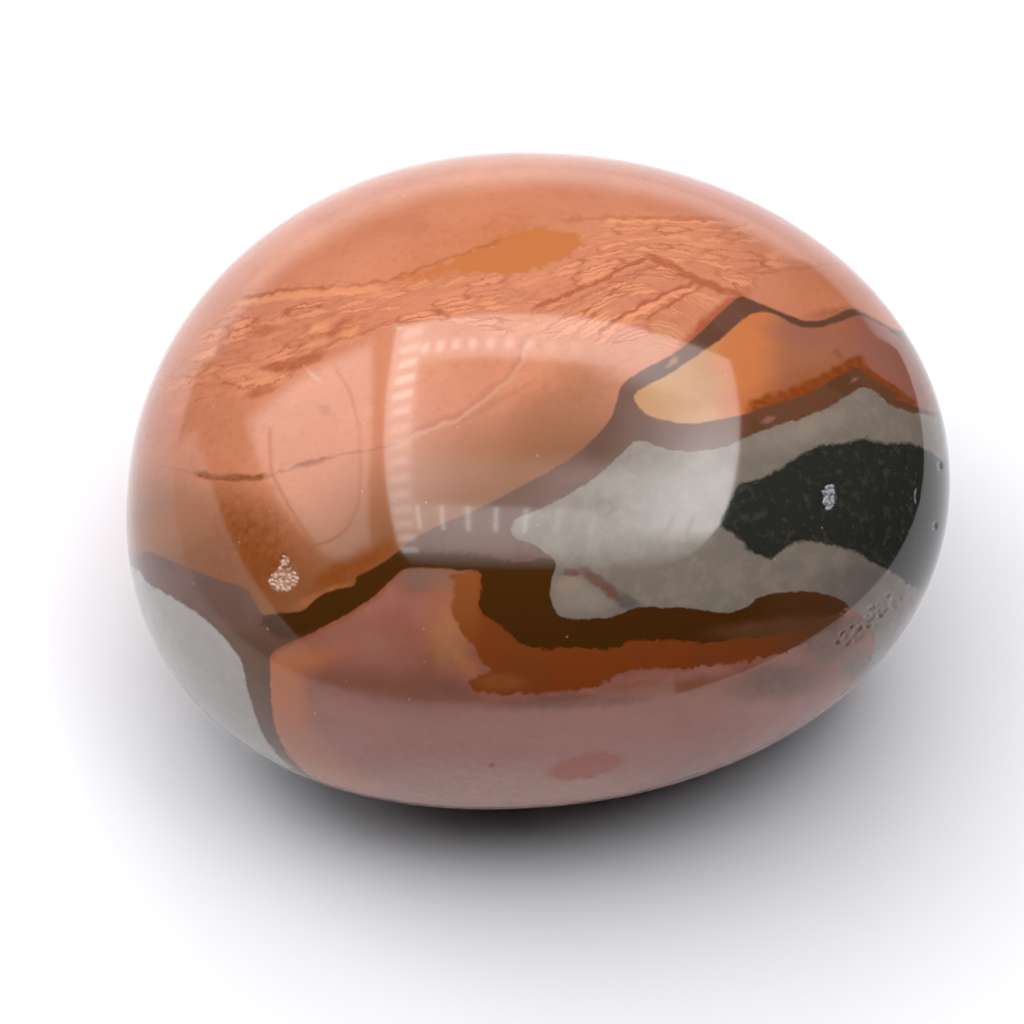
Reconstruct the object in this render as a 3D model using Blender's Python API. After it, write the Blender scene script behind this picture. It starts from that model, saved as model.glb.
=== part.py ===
"""Polished polychrome jasper: a tumbled, polished stone of the size that fills a palm, as one solid.

Metres, +Z up. +X is the stone's long axis and +Z points away from the surface it rests on. The
origin is on that surface, under the middle of the stone's outline.
"""

import bmesh
import bpy
from mathutils import Vector

# Driving dimensions
LENGTH = 0.065
WIDTH = 0.056
HEIGHT = 0.040  # of the round pebble, before its resting spot is polished flat
SPOT_DEPTH = 0.0007  # what the flat resting spot takes off the round underside
SPOT_EASE = 0.0004  # height over which the spot's edge rolls up into the underside

# Character of the pebble
PLAN_FULLNESS = 2.1  # 2 is a plain ellipse from above, and more fills its corners
PROFILE_FULLNESS = 2.15  # the same, seen from the side
TAPER = 0.075  # the +X end is narrower than the middle by this share, the -X end wider
LEAN = 0.0026  # how far the crown leans towards +X, and the underside towards -X
BOW = 0.0015  # how far both ends bend towards -Y from the middle
BOW_BALANCE = 1 / 3  # the part of the bow that the middle takes up on the other side

# Fineness of the facets: each step more splits every facet into four
FACET_STEPS = 5

# Look of the polished surface
STONE_NAME = "jasper_stone"
JASPER_BROWN = (0.36, 0.17, 0.10, 1.0)
POLISH_ROUGHNESS = 0.1
QUARTZ_IOR = 1.54


def full_radius(first, second, fullness):
    """Distance from the centre to a rounded outline, along the unit direction (first, second)."""
    return (abs(first) ** fullness + abs(second) ** fullness) ** (-1 / fullness)


def pebble_point(direction):
    """Point of the round pebble in a direction from its middle."""
    level = Vector((direction.x, direction.y))
    side = level.length
    level = level.normalized() if side > 0 else Vector((1, 0))
    profile = full_radius(side, direction.z, PROFILE_FULLNESS)
    plan = full_radius(level.x, level.y, PLAN_FULLNESS)
    along = level.x * plan * side * profile
    across = level.y * plan * side * profile
    up = direction.z * profile
    return Vector((
        LENGTH / 2 * along + LEAN * up,
        WIDTH / 2 * across * (1 - TAPER * along) - BOW * (along ** 2 - BOW_BALANCE),
        HEIGHT / 2 * up,
    ))


def rest_height(height):
    """Height of a point once the resting spot is flat: never under the spot, with a rolled edge."""
    spot = SPOT_DEPTH - HEIGHT / 2
    overlap = max(1 - abs(height - spot) / SPOT_EASE, 0)
    return max(height, spot) + SPOT_EASE / 4 * overlap ** 2


def stone_mesh():
    """Round ball of even facets, drawn out to the pebble and set down on its resting spot."""
    body = bmesh.new()
    bmesh.ops.create_icosphere(body, subdivisions=FACET_STEPS, radius=1)
    for corner in body.verts:
        point = pebble_point(corner.co.normalized())
        point.z = rest_height(point.z)
        corner.co = point
    lows = [min(corner.co[axis] for corner in body.verts) for axis in range(3)]
    highs = [max(corner.co[axis] for corner in body.verts) for axis in range(3)]
    under_middle = Vector(((lows[0] + highs[0]) / 2, (lows[1] + highs[1]) / 2, lows[2]))
    bmesh.ops.translate(body, verts=body.verts, vec=-under_middle)
    mesh = bpy.data.meshes.new(STONE_NAME)
    body.to_mesh(mesh)
    body.free()
    mesh.shade_smooth()
    return mesh


def polished_jasper():
    """Opaque brown jasper under a fine polish."""
    material = bpy.data.materials.new("polished jasper")
    material.use_nodes = True
    surface = material.node_tree.nodes["Principled BSDF"]
    surface.inputs["Base Color"].default_value = JASPER_BROWN
    surface.inputs["Roughness"].default_value = POLISH_ROUGHNESS
    surface.inputs["Metallic"].default_value = 0.0
    surface.inputs["IOR"].default_value = QUARTZ_IOR
    material.diffuse_color = JASPER_BROWN
    return material


for old in list(bpy.data.objects):
    bpy.data.objects.remove(old, do_unlink=True)

stone = bpy.data.objects.new(STONE_NAME, stone_mesh())
stone.data.materials.append(polished_jasper())
bpy.context.scene.collection.objects.link(stone)
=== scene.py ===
"""Polished polychrome jasper on a pale sheet, under a square lamp with an open middle.

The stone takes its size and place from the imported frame. Its fields, bands and veins are outlines
drawn on the front view, 1024 units wide and 1024 high, with x to the right and y down. They run
into the stone along the line of sight. Behind the rim they drift and turn, as flow bands do.
"""

import math

import bmesh
import bpy
import numpy as np
from bpy.props import FloatProperty, FloatVectorProperty, IntProperty, PointerProperty
from bpy.types import Operator, Panel, PropertyGroup
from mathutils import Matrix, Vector, noise


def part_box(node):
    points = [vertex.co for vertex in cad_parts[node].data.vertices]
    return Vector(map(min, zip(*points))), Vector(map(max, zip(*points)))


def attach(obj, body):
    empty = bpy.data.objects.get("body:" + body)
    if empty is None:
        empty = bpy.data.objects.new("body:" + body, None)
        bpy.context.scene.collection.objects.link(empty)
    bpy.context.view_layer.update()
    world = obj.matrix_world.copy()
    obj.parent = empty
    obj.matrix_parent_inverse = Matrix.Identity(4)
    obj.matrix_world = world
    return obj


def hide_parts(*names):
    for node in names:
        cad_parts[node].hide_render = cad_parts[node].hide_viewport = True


bl_info = {
    "name": "Polished Polychrome Jasper",
    "version": (1, 0, 0),
    "blender": (4, 5, 0),
    "location": "3D View > Sidebar > Jasper",
    "description": "Shapes and paints a polished jasper stone and lights it on a pale sheet",
    "category": "Object",
}

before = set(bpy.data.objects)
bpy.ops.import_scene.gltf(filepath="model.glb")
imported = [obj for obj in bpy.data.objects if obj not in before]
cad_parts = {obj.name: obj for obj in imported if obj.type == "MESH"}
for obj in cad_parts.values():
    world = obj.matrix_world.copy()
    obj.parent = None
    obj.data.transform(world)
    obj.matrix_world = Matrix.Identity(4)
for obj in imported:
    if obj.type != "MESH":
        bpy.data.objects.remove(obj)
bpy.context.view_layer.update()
STONE_NODE = "jasper_stone"
STONE_PIECE = "polished_jasper_stone"
ROOT_BODY = "root"
STONE_LOW, STONE_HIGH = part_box(STONE_NODE)
STONE_SIZE = STONE_HIGH - STONE_LOW

# Shape of the pebble, as shares of its half length, half width and half height
PLAN_FULLNESS = 2.1
PROFILE_FULLNESS = 2.15
TAPER = 0.075
LEAN = 0.08
BOW = 0.0536
BOW_BALANCE = 1 / 3
SPOT_DEPTH = 0.035
SPOT_EASE = 0.02
SHELL_STEPS = 65  # points along each edge of the cube whose rounded form gives the pebble's reach

# The front view
VIEW_WIDTH = 1024
VIEW_UNIT = 0.0000796  # metres that one unit of the front view covers on the stone
MIDDLE_IN_VIEW = (535.9, 480.5)
RIM_LEVEL = 0.066  # how far in front of the pebble's middle plane the near camera puts the rim

# Outlines of the colour fields on the front view, each clockwise from its left end
FIELDS = {
    "terracotta": (
        (60, 520), (148, 551), (174, 562), (222, 581), (245, 588), (256, 604), (263, 614), (278, 613),
        (301, 611), (318, 597), (334, 590), (354, 585), (357, 576), (374, 568), (399, 550), (413, 539),
        (440, 525), (473, 511), (496, 500), (520, 487), (549, 471), (575, 455), (596, 437), (611, 418),
        (617, 400), (622, 384), (645, 369), (671, 355), (687, 343), (699, 334), (715, 318), (728, 305),
        (739, 297), (747, 298), (774, 309), (800, 320), (818, 321), (834, 316), (850, 308), (864, 312),
        (882, 323), (905, 332), (990, 345), (990, 60), (60, 60),
    ),
    "leaf": (
        (634, 398), (646, 386), (671, 373), (692, 359), (719, 340), (738, 324), (750, 315), (758, 312),
        (774, 314), (797, 325), (816, 327), (839, 322), (853, 317), (866, 318), (885, 326), (905, 337),
        (990, 352), (990, 425), (904, 402), (896, 393), (871, 377), (857, 368), (846, 372), (820, 387),
        (795, 398), (768, 406), (747, 413), (724, 418), (692, 424), (662, 419), (646, 413),
    ),
    "grey": (
        (632, 442), (646, 441), (660, 447), (676, 451), (696, 451), (729, 445), (761, 431), (800, 419),
        (830, 407), (855, 390), (871, 389), (889, 404), (908, 412), (935, 416), (1010, 424), (1010, 700),
        (900, 700), (866, 676), (874, 652), (874, 634), (869, 621), (856, 611), (844, 602), (832, 597),
        (813, 592), (779, 593), (758, 597), (749, 606), (735, 611), (721, 613), (694, 609), (659, 607),
        (634, 608), (620, 614), (607, 617), (584, 619), (561, 617), (552, 605), (550, 591), (553, 575),
        (557, 565), (549, 555), (533, 544), (517, 539), (510, 530), (517, 518), (544, 507), (572, 492),
        (601, 473), (618, 457),
    ),
    "black": (
        (721, 518), (731, 498), (742, 483), (761, 479), (779, 468), (797, 456), (818, 446), (843, 443),
        (862, 438), (867, 434), (873, 441), (898, 443), (912, 444), (928, 450), (945, 461), (985, 480),
        (985, 600), (945, 592), (918, 588), (905, 582), (893, 572), (877, 565), (866, 559), (856, 551),
        (836, 547), (820, 542), (799, 542), (789, 545), (779, 553), (769, 558), (758, 555), (748, 549),
        (740, 539), (730, 533), (722, 527),
    ),
    "pale": (
        (60, 530), (131, 565), (146, 581), (163, 593), (180, 602), (197, 613), (214, 627), (231, 647),
        (242, 663), (247, 689), (256, 717), (267, 742), (284, 762), (304, 776), (350, 805), (320, 860),
        (120, 800),
    ),
    "rose": (
        (270, 672), (271, 657), (278, 649), (295, 640), (318, 630), (340, 618), (363, 604), (379, 593),
        (393, 579), (403, 570), (419, 567), (455, 570), (490, 575), (540, 610), (640, 630), (760, 630),
        (850, 600), (872, 622), (876, 640), (874, 652), (866, 676), (900, 700), (960, 720), (760, 900),
        (420, 900), (350, 800), (329, 786), (306, 773), (290, 756), (278, 734), (273, 711), (270, 686),
    ),
    "burnt": (
        (453, 574), (455, 580), (454, 592), (452, 610), (460, 629), (473, 647), (480, 661), (490, 670),
        (467, 681), (476, 691), (499, 693), (529, 693), (561, 692), (593, 687), (616, 677), (636, 670),
        (687, 669), (703, 664), (728, 664), (762, 657), (795, 648), (816, 637), (840, 622), (820, 600),
        (700, 610), (560, 600), (500, 574),
    ),
    "chocolate": (
        (479, 566), (480, 573), (481, 592), (480, 610), (492, 619), (506, 629), (515, 638), (531, 647),
        (556, 649), (575, 648), (597, 650), (620, 646), (630, 640), (657, 641), (712, 641), (740, 637),
        (783, 633), (820, 620), (848, 606), (820, 585), (700, 600), (570, 600), (565, 560),
    ),
    "strip": (
        (262, 620), (285, 606), (320, 590), (357, 570), (400, 552), (470, 556), (560, 570), (560, 590),
        (455, 574), (405, 572), (393, 584), (379, 598), (340, 622), (300, 638), (278, 636),
    ),
    "lens": (
        (393, 278), (435, 265), (466, 255), (483, 244), (505, 235), (530, 230), (556, 230), (583, 242),
        (560, 262), (530, 272), (495, 273), (459, 273), (422, 280),
    ),
    "flakes": (
        (150, 420), (200, 345), (235, 305), (282, 292), (340, 287), (400, 283), (466, 262), (530, 280),
        (572, 250), (612, 230), (680, 224), (742, 226), (786, 262), (758, 288), (720, 300), (690, 330),
        (640, 350), (560, 340), (470, 330), (395, 325), (316, 356), (277, 384), (215, 392),
    ),
}

# Veins, cracks and seams on the front view, each running from left to right
LINES = {
    "low_bed": (
        (120, 440), (197, 391), (277, 381), (316, 354), (393, 325), (530, 309), (640, 264), (692, 276),
        (732, 292), (838, 318), (940, 330),
    ),
    "crack": (
        (150, 463), (182, 471), (200, 474), (218, 478), (245, 479), (262, 477), (290, 469), (328, 458),
        (400, 444),
    ),
    "vein": ((405, 441), (436, 427), (462, 419), (486, 398), (507, 383), (520, 366), (530, 342)),
    "top_bed": (
        (150, 330), (245, 297), (282, 291), (350, 286), (386, 281), (483, 246), (559, 221), (606, 217),
        (672, 218), (722, 219), (748, 208), (900, 180),
    ),
    "fault": ((640, 252), (652, 256), (692, 276), (732, 292), (742, 295)),
    "upper_seam": ((528, 318), (534, 308), (560, 297), (600, 281), (625, 268), (648, 257)),
    "lower_seam": ((594, 345), (601, 330), (627, 314), (651, 300), (677, 288), (697, 283)),
    "third_seam": ((640, 322), (662, 310), (684, 296), (704, 285), (722, 288)),
    "right_seam": ((720, 275), (772, 271), (821, 265), (850, 262)),
    "leaf_edge": (
        (700, 422), (724, 418), (747, 413), (768, 406), (795, 398), (820, 387), (846, 372), (857, 367),
        (871, 376), (896, 393), (912, 404),
    ),
}

# Marks on each field, by colour. An oval has its strength, place, half length, half width, rise in
# degrees and softness. A stroke has its strength, line, start, end, half width, shift down and
# softness.
MARKS = {
    "bands": {
        "rose_light": (
            (0.5, 768, 420, 6, 2.5, 20, 0.6), (0.5, 853, 380, 4, 2, 30, 0.6),
            (0.4, 818, 413, 5, 2, 20, 0.6),
        ),
        "leaf_pale": ((0.5, 672, 362, 8, 3, 35, 0.6),),
    },
    "terracotta": {
        "sienna": (
            (0.85, 245, 548, 66, 46, -35, 0.7), (0.9, 352, 568, 52, 13, 28, 0.5),
            (0.55, 238, 505, 36, 20, -20, 0.8), (0.5, 835, 314, 26, 7, 8, 0.6),
            (0.85, "crack", 195, 266, 3.4, 0, 0.5), (0.6, "crack", 296, 330, 2.6, 0, 0.6),
        ),
        "ochre": (
            (0.45, 322, 597, 28, 6, 22, 0.5), (0.35, 168, 528, 40, 20, 20, 0.8),
            (0.4, 470, 250, 70, 22, 20, 0.8), (0.4, 815, 290, 34, 16, 10, 0.8),
        ),
        "terracotta_deep": (
            (0.15, 440, 232, 80, 20, 10, 0.8), (0.3, 205, 432, 50, 40, 30, 0.9),
            (0.9, 713, 321, 42, 8, 41, 0.5), (0.8, 302, 362, 22, 5, 22, 0.5),
            (0.8, 277, 366, 15, 5, 10, 0.5), (0.6, 258, 393, 18, 5, 22, 0.5),
            (0.5, 262, 330, 14, 5, 10, 0.6), (0.6, 330, 334, 26, 3.5, 18, 0.5),
            (0.5, 345, 322, 22, 3, 14, 0.5), (0.35, 325, 410, 6, 5, 0, 0.5),
            (0.25, 858, 288, 34, 18, -30, 0.8), (0.8, "top_bed", 245, 330, 2.2, 0, 0.5),
            (0.5, "top_bed", 345, 500, 1.6, 0, 0.5), (0.35, "top_bed", 560, 725, 1.8, 0, 0.6),
            (0.75, "fault", 648, 745, 4, 1, 0.4), (0.8, "upper_seam", 532, 648, 2, 0, 0.5),
            (0.35, "upper_seam", 550, 655, 2.5, 9, 0.5), (0.8, "lower_seam", 598, 694, 1.8, 0, 0.5),
            (0.7, "third_seam", 645, 716, 1.8, 0, 0.5), (0.35, "right_seam", 725, 848, 1.4, 0, 0.6),
            (0.4, "low_bed", 190, 390, 1.6, -4, 0.5), (0.25, "vein", 412, 532, 4, -4, 0.7),
        ),
        "border": (
            (0.3, 160, 520, 50, 36, -20, 0.6), (0.5, 565, 402, 56, 26, 40, 0.9),
            (0.4, "crack", 160, 400, 1.2, 0, 0.7), (0.25, 500, 400, 50, 3, 30, 0.8),
        ),
        "leaf_pale": ((0.5, 657, 341, 22, 10, 40, 0.8),),
        "terracotta_light": (
            (0.6, 345, 290, 30, 3.5, 5, 0.5), (0.6, 290, 294, 26, 3.5, 8, 0.5),
            (0.5, 318, 342, 10, 5, 20, 0.5), (0.5, 349, 332, 9, 4, 20, 0.5),
            (0.5, 322, 327, 12, 5, 20, 0.5), (0.6, 262, 379, 22, 3, 15, 0.5),
            (0.6, "top_bed", 240, 380, 2.4, 6, 0.5), (0.8, "top_bed", 606, 722, 1.2, 4, 0.6),
            (0.6, "lower_seam", 602, 694, 2.2, 5, 0.5),
        ),
        "quartz": (
            (0.5, 312, 374, 9, 2, -48, 0.5), (0.5, 399, 327, 5, 3, 0, 0.6),
            (0.35, "vein", 410, 532, 2, 0, 0.8),
        ),
    },
    "leaf": {
        "leaf_orange": ((0.9, 744, 341, 36, 16, 44, 0.6),),
        "leaf_mauve": ((0.7, 800, 335, 34, 10, -12, 0.7),),
        "sienna": ((0.3, 792, 385, 46, 13, 22, 0.7), (0.55, 839, 355, 6, 4, -30, 0.5)),
        "rust": ((0.9, "leaf_edge", 748, 866, 11, 0, 0.35), (0.9, "leaf_edge", 860, 915, 5, 0, 0.4)),
    },
    "rose": {
        "grey_mauve": ((0.9, 430, 579, 30, 13, -3, 0.5),),
        "ochre": (
            (0.45, 446, 622, 20, 36, 0, 1.0), (0.45, 466, 664, 22, 8, -50, 0.8),
            (0.4, 352, 786, 46, 12, -24, 0.7),
        ),
        "leaf_pale": ((0.25, 450, 640, 16, 26, 0, 0.8),),
        "rose_light": (
            (0.5, 490, 682, 26, 6, -6, 0.6), (0.7, 712, 670, 24, 5, -3, 0.5),
            (0.5, 660, 676, 44, 6, 6, 0.7), (0.5, 560, 706, 70, 8, 2, 0.7), (0.5, 730, 708, 60, 16, 8, 0.9),
            # Painted light: the broad oval at 500, 750 lightens the lower front of the rose field, standing
            # in for light that the lamps don't give there.
            (0.75, 500, 750, 190, 52, 0, 0.6), (0.5, 790, 712, 60, 12, 30, 0.7),
            (0.3, 360, 650, 40, 24, -30, 0.8),
        ),
        "rust_light": (
            (0.5, 580, 702, 66, 4, 3, 0.6), (0.5, 668, 687, 54, 6, 4, 0.7), (0.4, 784, 680, 44, 16, 8, 0.8),
        ),
        "umber": (
            (0.35, 452, 690, 34, 8, -20, 0.7), (0.55, 566, 702, 80, 7, 3, 0.7),
            (0.8, 780, 680, 44, 16, 8, 0.8), (0.8, 832, 636, 36, 16, 28, 0.7),
            (0.3, 380, 690, 70, 20, -12, 0.9),
        ),
        # Painted light: a faint pale band along the bottom edge of the lower front, lightening it.
        "quartz": ((0.25, 500, 794, 150, 24, 0, 0.8),),
        "oval_rose": ((1.0, 586, 766, 38, 12, 12, 0.25), (0.8, 491, 765, 4, 3, 0, 0.4)),
    },
    "lower": {
        "olive": (
            (0.8, 893, 607, 24, 9, 40, 0.5), (0.5, 862, 630, 22, 10, 40, 0.6),
            (0.9, 858, 664, 17, 14, 40, 0.6), (0.6, 838, 652, 22, 8, 30, 0.6),
        ),
        "stem": ((0.9, 772, 628, 58, 9, 6, 0.6),),
        "rust_light": ((0.75, 500, 682, 26, 8, -4, 0.6),),
    },
    "grey": {
        "grey_light": ((0.6, 800, 430, 44, 12, 20, 0.8), (0.7, 582, 600, 26, 14, 0, 0.6)),
        "tan": ((0.8, 569, 585, 14, 8, 0, 0.6),),
        "plum": (
            (0.8, 572, 572, 8, 4, -10, 0.4), (0.9, 601, 584, 24, 6, -36, 0.4),
            (0.45, 604, 508, 9.5, 9.5, 0, 0.25),
        ),
        "purple_grey": ((0.7, 627, 602, 13, 6, -20, 0.5), (0.3, 850, 585, 36, 22, 30, 0.8)),
        "grey": ((0.9, 604, 508, 6.5, 6.5, 0, 0.25),),
    },
}


def colour_setting(label, description, red, green, blue):
    """A colour that the user can change. The default is given as the eye reads it, 0 to 255."""
    values = [channel / 255 for channel in (red, green, blue)]
    linear = [v / 12.92 if v <= 0.04045 else ((v + 0.055) / 1.055) ** 2.4 for v in values]
    return FloatVectorProperty(
        name=label, description=description, subtype="COLOR", size=3, min=0, max=1, default=linear
    )


class StoneSizes(PropertyGroup):
    """Size of the stone and fineness of its surface."""

    length: FloatProperty(
        name="Length", description="Along the long axis", default=STONE_SIZE.x, unit="LENGTH", min=0.01
    )
    width: FloatProperty(
        name="Width", description="Across the long axis", default=STONE_SIZE.y, unit="LENGTH", min=0.01
    )
    height: FloatProperty(
        name="Height", description="Above the resting spot", default=STONE_SIZE.z, unit="LENGTH", min=0.01
    )
    fineness: IntProperty(
        name="Fineness", description="Faces along each edge of the cube that is rounded to the stone",
        default=60, min=16, max=62,
    )


class StoneColours(PropertyGroup):
    """Colours of the jasper under its polish."""

    terracotta: colour_setting("Terracotta", "Main field", 185, 117, 91)
    terracotta_deep: colour_setting("Deep terracotta", "Gaps of the flaky bed", 154, 82, 54)
    terracotta_light: colour_setting("Light terracotta", "Flakes of the bed", 217, 144, 104)
    ochre: colour_setting("Ochre", "Lens and patches", 181, 107, 63)
    border: colour_setting("Border brown", "Edge of the main field", 132, 86, 56)
    sienna: colour_setting("Sienna", "Lower left end of the main field", 128, 66, 27)
    rust: colour_setting("Rust", "Burnt orange field", 123, 58, 21)
    rust_light: colour_setting("Light rust", "Left arm of the burnt field", 136, 76, 38)
    chocolate: colour_setting("Chocolate", "Darkest brown band", 66, 37, 10)
    umber: colour_setting("Umber", "Brown bands between the fields", 98, 65, 52)
    plum: colour_setting("Plum", "Left end of the brown band", 105, 71, 60)
    stem: colour_setting("Stem brown", "Band that runs down from the left", 94, 60, 39)
    leaf_pale: colour_setting("Pale ochre", "Left end of the leaf", 174, 129, 84)
    leaf_orange: colour_setting("Orange", "Middle of the leaf", 184, 109, 66)
    leaf_tan: colour_setting("Leaf tan", "Right half of the leaf", 151, 95, 68)
    leaf_mauve: colour_setting("Leaf mauve", "Right end of the leaf", 143, 91, 77)
    grey: colour_setting("Grey", "Main grey field", 118, 107, 97)
    grey_light: colour_setting("Light grey", "Clouds of the grey field", 138, 124, 114)
    pale_grey: colour_setting("Pale grey", "Left grey field", 162, 156, 150)
    purple_grey: colour_setting("Purple grey", "Dark marks of the grey field", 78, 71, 72)
    tan: colour_setting("Tan", "Warm mark of the grey field", 143, 122, 106)
    # Black also serves as painted shade over the stone's underside.
    black: colour_setting("Black", "Dark patch", 39, 39, 35)
    rose: colour_setting("Rose brown", "Lower field", 143, 88, 73)
    # Light rose also serves as painted light over the lower front.
    rose_light: colour_setting("Light rose", "Frayed edge and clouds of the lower field", 159, 106, 95)
    oval_rose: colour_setting("Oval", "Red brown oval of the lower field", 155, 74, 56)
    grey_mauve: colour_setting("Grey mauve", "Upper corner of the lower field", 121, 92, 79)
    olive: colour_setting("Olive", "Pitted patches at the right", 98, 80, 54)
    # Quartz also serves as painted light along the bottom edge of the lower front.
    quartz: colour_setting("Quartz", "Crystals and specks", 196, 158, 136)
    crystal: colour_setting("Clear crystal", "Crystals of the black patch", 160, 160, 170)


class StudioSettings(PropertyGroup):
    """Camera and light of the studio."""

    elevation: FloatProperty(
        name="Camera height", description="Angle above the sheet", default=math.radians(55),
        subtype="ANGLE", min=0.1, max=1.5,
    )
    distance: FloatProperty(
        name="Camera distance", description="From the stone's middle", default=0.38, unit="LENGTH", min=0.1
    )
    lamp_power: FloatProperty(
        name="Lamp brightness", description="Scale of all the lights", default=0.9, min=0, max=20
    )
    floor_colour: colour_setting("Sheet", "Pale sheet under the stone", 239, 239, 244)


def unit_directions(positions):
    """Even spread of unit directions for points of a cube that reaches 1 each way."""
    spread = np.tan(positions * math.pi / 4)
    return spread / np.linalg.norm(spread, axis=1, keepdims=True)


def full_radius(first, second, fullness):
    """Distance from the middle to a rounded outline, along unit directions (first, second)."""
    return (np.abs(first) ** fullness + np.abs(second) ** fullness) ** (-1 / fullness)


def pebble_shares(directions):
    """Pebble in shares of its half length, half width and half height, with the spot ground flat."""
    x, y, z = directions.T
    side = np.hypot(x, y)
    turn = np.arctan2(y, x)
    plan = full_radius(np.cos(turn), np.sin(turn), PLAN_FULLNESS)
    profile = full_radius(side, z, PROFILE_FULLNESS)
    along, across, up = x * plan * profile, y * plan * profile, z * profile
    spot = SPOT_DEPTH - 1
    overlap = np.maximum(1 - np.abs(up - spot) / SPOT_EASE, 0)
    rest = np.maximum(up, spot) + SPOT_EASE / 4 * overlap ** 2
    bend = BOW * (along ** 2 - BOW_BALANCE)
    return np.stack([along + LEAN * up, across * (1 - TAPER * along) - bend, rest], axis=1)


class Pebble:
    """The stone's rounded shape at its size and in its place in the frame."""

    def __init__(self, sizes):
        steps = np.linspace(-1, 1, SHELL_STEPS)
        spread = np.stack(np.meshgrid(steps, steps, steps), axis=-1).reshape(-1, 3)
        shell = spread[np.abs(spread).max(axis=1) == 1]
        shares = pebble_shares(unit_directions(shell))
        size = np.array((sizes.length, sizes.width, sizes.height))
        self.low = shares.min(axis=0)
        self.scale = size / (shares.max(axis=0) - self.low)
        self.half = size / 2
        centre = np.array(STONE_LOW + STONE_HIGH) / 2
        self.corner = np.array((centre[0] - self.half[0], centre[1] - self.half[1], STONE_LOW.z))
        self.middle = Vector(self.corner - self.low * self.scale)

    def points(self, directions):
        """Points in metres in the frame, in these directions from the middle."""
        return self.corner + (pebble_shares(directions) - self.low) * self.scale

    def outward(self, directions):
        """Directions square to the surface."""
        square = directions / self.half
        return square / np.linalg.norm(square, axis=1, keepdims=True)


class FrontView:
    """Camera place and the drawing plane that the outlines are drawn on."""

    def __init__(self, middle, studio):
        tilt = studio.elevation
        self.back = Vector((0, -math.cos(tilt), math.sin(tilt)))
        self.place = middle + self.back * studio.distance
        self.units = studio.distance / VIEW_UNIT
        right = Vector((1, 0, 0))
        up = self.back.cross(right)
        shift_x = (MIDDLE_IN_VIEW[0] - VIEW_WIDTH / 2) * VIEW_UNIT
        shift_y = (VIEW_WIDTH / 2 - MIDDLE_IN_VIEW[1]) * VIEW_UNIT
        self.target = middle - right * shift_x - up * shift_y
        self.forward = (self.target - self.place).normalized()
        self.right = self.forward.cross(Vector((0, 0, 1))).normalized()
        self.up = self.right.cross(self.forward)
        self.middle = middle

    def draw(self, points):
        """Place on the front view of points in metres."""
        away = points - np.array(self.place)
        depth = away @ np.array(self.forward)
        x = VIEW_WIDTH / 2 + self.units * (away @ np.array(self.right)) / depth
        y = VIEW_WIDTH / 2 - self.units * (away @ np.array(self.up)) / depth
        return x, y


def behind_rim(directions, view, pebble):
    """How far each direction lies behind the rim that the camera sees: 0 in front, about 1 at most."""
    half = pebble.half
    back = np.array(view.back)
    toward = np.array((back[0] / half[0] - LEAN * back[2] / half[2], back[1] / half[1], back[2] / half[2]))
    toward = toward / np.linalg.norm(toward)
    return np.maximum(RIM_LEVEL - directions @ toward, 0)


# How the fields drift, turn and wave behind the rim, and the noises and steps of the drawing
SWIRL = math.radians(38)
SWIRL_EASE = 0.25
DRIFT = (-70.0, 46.0)
WAVE_HEIGHT = 26.0
WAVE_LENGTH = 0.021
WAVES_ACROSS = (((1.3, 0.0, 2.1), 0.4, 1.0), ((0.0, 3.1, 0.0), 1.7, 0.5))  # turns, start and height
WAVES_DOWN = (((1.1, 1.7, 0.0), 2.2, 1.0), ((0.0, 0.0, 2.9), 0.9, 0.5))
BEHIND_UNITS = 1000.0
STROKE_END = 12.0
MARK_MARGIN = 4.0
MARK_FADE = 0.12
WIDE_MARK = 5.0
TANGLES = ((10, 2.6), (4, 1.2))  # size and reach of the noise that makes marks ragged
TANGLE_SEED = 5
TANGLE_REACH = 11.0
FLAKE_LENGTH, FLAKE_THICKNESS = 36.0, 6.5
BED_UNITS = 80.0
BED_LEAST = 32.0
FINE_GRAIN, COARSE_GRAIN, CLOUD_SIZE, MOTTLE_SIZE = 9, 48, 150, 20
SPECK_EDGE = 0.7
POLISH_ROUGHNESS, CRYSTAL_ROUGHNESS = 0.062, 0.3
QUARTZ_IOR = 1.54
LEVEL_SHIFTS = range(-32, 33, 8)
SLOPE_REACH = 4


def wave_sum(phase, waves):
    """Sum of some waves at places given as phases."""
    return sum(height * np.sin(phase @ np.array(turns) + start) for turns, start, height in waves)


def drawing_place(points, behind, view):
    """Place on the drawing that colours each point, drifting and turning behind the rim."""
    x, y = view.draw(points)
    turned = behind ** 2 / (behind + SWIRL_EASE)
    angle = SWIRL * turned
    from_middle = x - MIDDLE_IN_VIEW[0], y - MIDDLE_IN_VIEW[1]
    turn_x = from_middle[0] * np.cos(angle) - from_middle[1] * np.sin(angle)
    turn_y = from_middle[0] * np.sin(angle) + from_middle[1] * np.cos(angle)
    phase = points / WAVE_LENGTH
    place_x = MIDDLE_IN_VIEW[0] + turn_x + turned * (DRIFT[0] + WAVE_HEIGHT * wave_sum(phase, WAVES_ACROSS))
    place_y = MIDDLE_IN_VIEW[1] + turn_y + turned * (DRIFT[1] + WAVE_HEIGHT * wave_sum(phase, WAVES_DOWN))
    return place_x, place_y


def smooth_outline(corners, steps=4):
    """Closed curve that passes through every corner."""
    points = np.array(corners, float)
    before, after, beyond = (np.roll(points, shift, axis=0) for shift in (1, -1, -2))
    curve = []
    for t in np.arange(steps) / steps:
        curve.append(0.5 * (
            2 * points + (after - before) * t
            + (2 * before - 5 * points + 4 * after - beyond) * t ** 2
            + (3 * points - before - 3 * after + beyond) * t ** 3
        ))
    return np.stack(curve, axis=1).reshape(-1, 2)


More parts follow.
